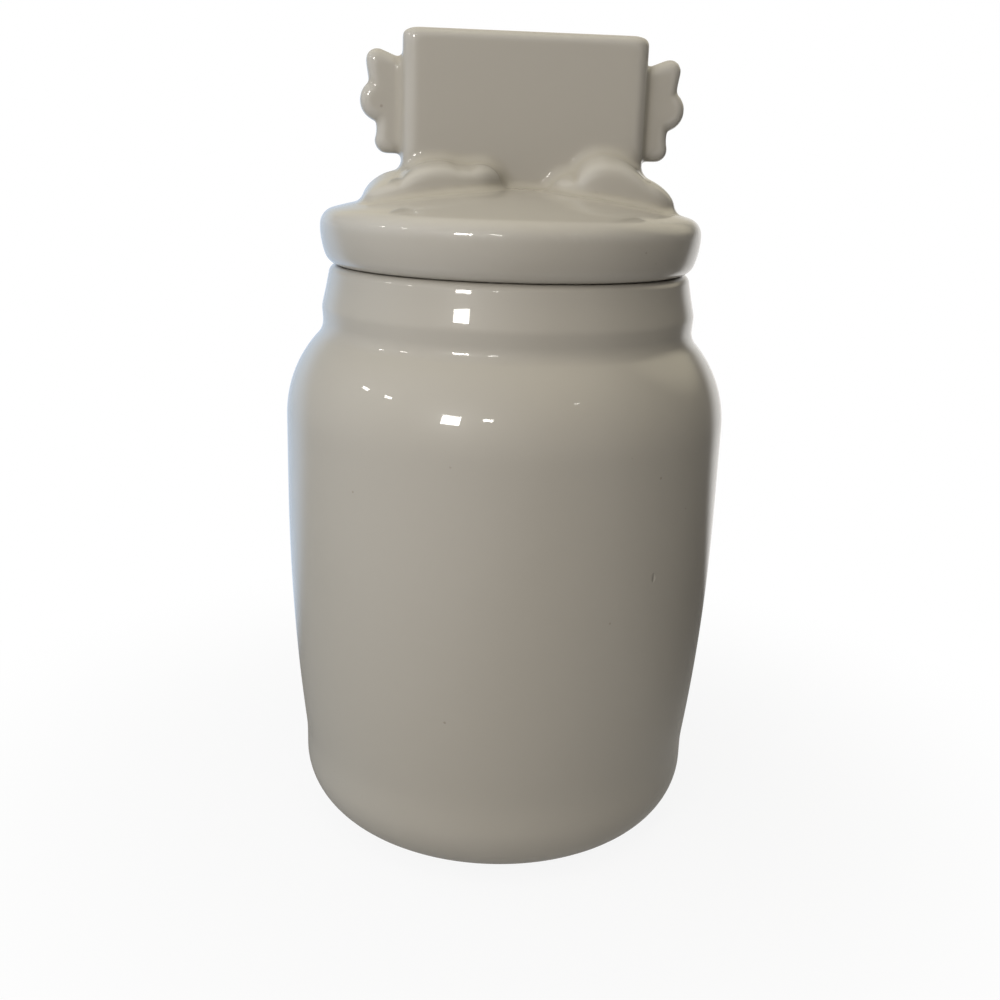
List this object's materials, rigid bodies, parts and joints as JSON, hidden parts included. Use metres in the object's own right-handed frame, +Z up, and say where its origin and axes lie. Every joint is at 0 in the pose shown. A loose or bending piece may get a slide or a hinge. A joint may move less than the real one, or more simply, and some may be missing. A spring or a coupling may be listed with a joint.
{
  "type": "cookie jar",
  "caption": "White glazed ceramic cookie jar: softly tapering body, banded neck and a domed drop-on lid whose handle is an upright winged tablet rising from low clouds.",
  "frame": {"origin": "centre of the foot ring on the surface that the jar stands on", "axes": "+Z up along the jar's axis; -Y is the way the tablet's plain face looks; +X to the right seen from there"},
  "size_m": [0.16, 0.16, 0.287],
  "materials": {
    "glaze": "glossy off-white glaze over cast earthenware"
  },
  "bodies": {
    "jar": {"jar": "glaze"},
    "lid": {"lid": "glaze", "tablet": "glaze", "left_wing": "glaze", "right_wing": "glaze", "left_cloud": "glaze", "right_cloud": "glaze"}
  },
  "joints": [
    {"name": "lid_lift", "type": "slide", "parent": "jar", "child": "lid", "axis": [0, 0, 1], "range_m": [0, 0.12]}
  ]
}
